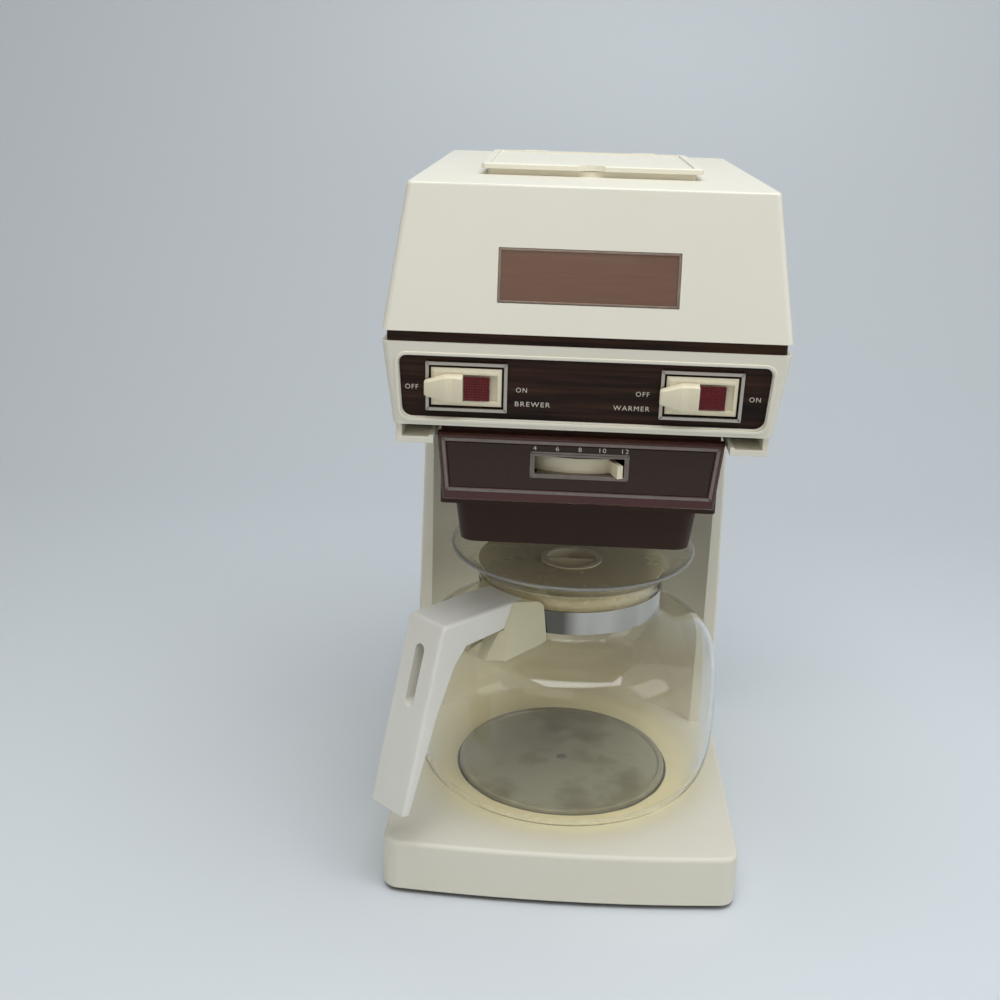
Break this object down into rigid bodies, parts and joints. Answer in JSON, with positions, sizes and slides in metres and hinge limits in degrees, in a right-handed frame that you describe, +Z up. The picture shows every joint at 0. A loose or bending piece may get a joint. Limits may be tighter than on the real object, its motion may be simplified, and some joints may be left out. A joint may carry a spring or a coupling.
{
  "type": "drip coffee maker",
  "caption": "Countertop drip coffee maker with a sliding brew basket, woodgrain control panel, hinged filling lid, warmer plate and a glass carafe with a side handle.",
  "frame": {"origin": "on the floor plane under the middle of the warmer plate", "axes": "+Z up, the control panel and basket front face -Y, +X is the viewer's right"},
  "size_m": [0.1803, 0.2486, 0.3512],
  "materials": {
    "almond_plastic": "moulded almond plastic with a soft satin sheen",
    "white_plastic": "white moulded plastic",
    "ivory_plastic": "ivory moulded plastic",
    "woodgrain": "dark woodgrain print under a satin coat",
    "brown_plate": "bare brown plate, lightly glossed",
    "brown_plastic": "dark brown moulded plastic",
    "red_brown_plastic": "red-brown polished plastic",
    "dark_inset": "dark brown matte panel",
    "silver_trim": "silver trim",
    "red_lens": "deep red prismatic lens",
    "clear_glass": "clear blown glass",
    "chrome_band": "polished chrome",
    "smoked_plastic": "translucent tinted plastic",
    "warmer_enamel": "grey non-stick coating",
    "black_rubber": "black rubber",
    "steel": "plated steel",
    "heater_sheath": "heat-darkened steel sheath",
    "cast_aluminium": "plain aluminium",
    "soft_tube": "translucent silicone",
    "natural_plastic": "natural translucent plastic",
    "cover_sheet": "dark coated sheet",
    "black_plastic": "black moulded plastic"
  },
  "bodies": {
    "housing": {"base_shell": "almond_plastic", "lower_housing": "almond_plastic", "upper_shroud": "almond_plastic", "basket_rails": "almond_plastic", "brewer_switch_plate": "ivory_plastic", "warmer_switch_plate": "ivory_plastic", "control_panel": "woodgrain", "trim_band": "woodgrain", "name_plate": "brown_plate", "brewer_switch_frame": "silver_trim", "warmer_switch_frame": "silver_trim", "warmer_plate": "warmer_enamel", "rubber_feet": "black_rubber", "warmer_gasket": "black_rubber", "bottom_screws": "steel", "rear_cover_screws": "steel", "housing_screws": "steel", "shroud_screws": "steel", "lid_hinge_pins": "steel", "element_clamp": "steel", "clamp_stud": "steel", "boiler_bracket": "steel", "warmer_element": "heater_sheath", "boiler_element": "heater_sheath", "boiler_tank": "cast_aluminium", "riser_tube": "soft_tube", "feed_tube": "soft_tube", "reservoir": "natural_plastic", "spray_head": "natural_plastic", "bottom_cover": "cover_sheet", "rear_cover": "cover_sheet", "cord_gland": "black_plastic", "brewer_switch_case": "black_plastic", "warmer_switch_case": "black_plastic", "terminal_block": "black_plastic", "warmer_thermostat": "black_plastic", "thermal_fuse": "black_plastic"},
    "brewer_switch": {"brewer_switch_knob": "ivory_plastic", "brewer_lens": "red_lens"},
    "warmer_switch": {"warmer_switch_knob": "ivory_plastic", "warmer_lens": "red_lens"},
    "basket": {"basket_body": "brown_plastic", "basket_front": "red_brown_plastic", "basket_inset": "dark_inset", "slot_frame": "silver_trim", "lever_pivot_pin": "steel", "lever_clip": "steel"},
    "saver_lever": {"saver_lever": "ivory_plastic"},
    "carafe": {"carafe_glass": "clear_glass", "carafe_band": "chrome_band", "carafe_handle": "white_plastic", "handle_bracket": "ivory_plastic", "handle_screw": "steel"},
    "carafe_lid": {"carafe_lid": "smoked_plastic", "lid_grip": "ivory_plastic"},
    "reservoir_lid": {"reservoir_lid": "almond_plastic"}
  },
  "joints": [
    {"name": "brewer_switch_slide", "type": "slide", "parent": "housing", "child": "brewer_switch", "axis": [1, 0, 0], "range_m": [0, 0.004]},
    {"name": "warmer_switch_slide", "type": "slide", "parent": "housing", "child": "warmer_switch", "axis": [1, 0, 0], "range_m": [0, 0.004]},
    {"name": "basket_slide", "type": "slide", "parent": "housing", "child": "basket", "axis": [0, -1, 0], "range_m": [0, 0.13]},
    {"name": "saver_lever_hinge", "type": "hinge", "parent": "basket", "child": "saver_lever", "pos_m": [0, -0.0517, 0.2218], "axis": [0, 0, -1], "range_deg": [0, 41]},
    {"name": "carafe_slide", "type": "slide", "parent": "housing", "child": "carafe", "axis": [0, -1, 0], "range_m": [0, 0.2]},
    {"name": "carafe_lid_lift", "type": "slide", "parent": "carafe", "child": "carafe_lid", "axis": [0, 0, 1], "range_m": [0, 0.022]},
    {"name": "reservoir_lid_hinge", "type": "hinge", "parent": "housing", "child": "reservoir_lid", "pos_m": [0, 0.0504, 0.349], "axis": [-1, 0, 0], "range_deg": [0, 100]}
  ]
}
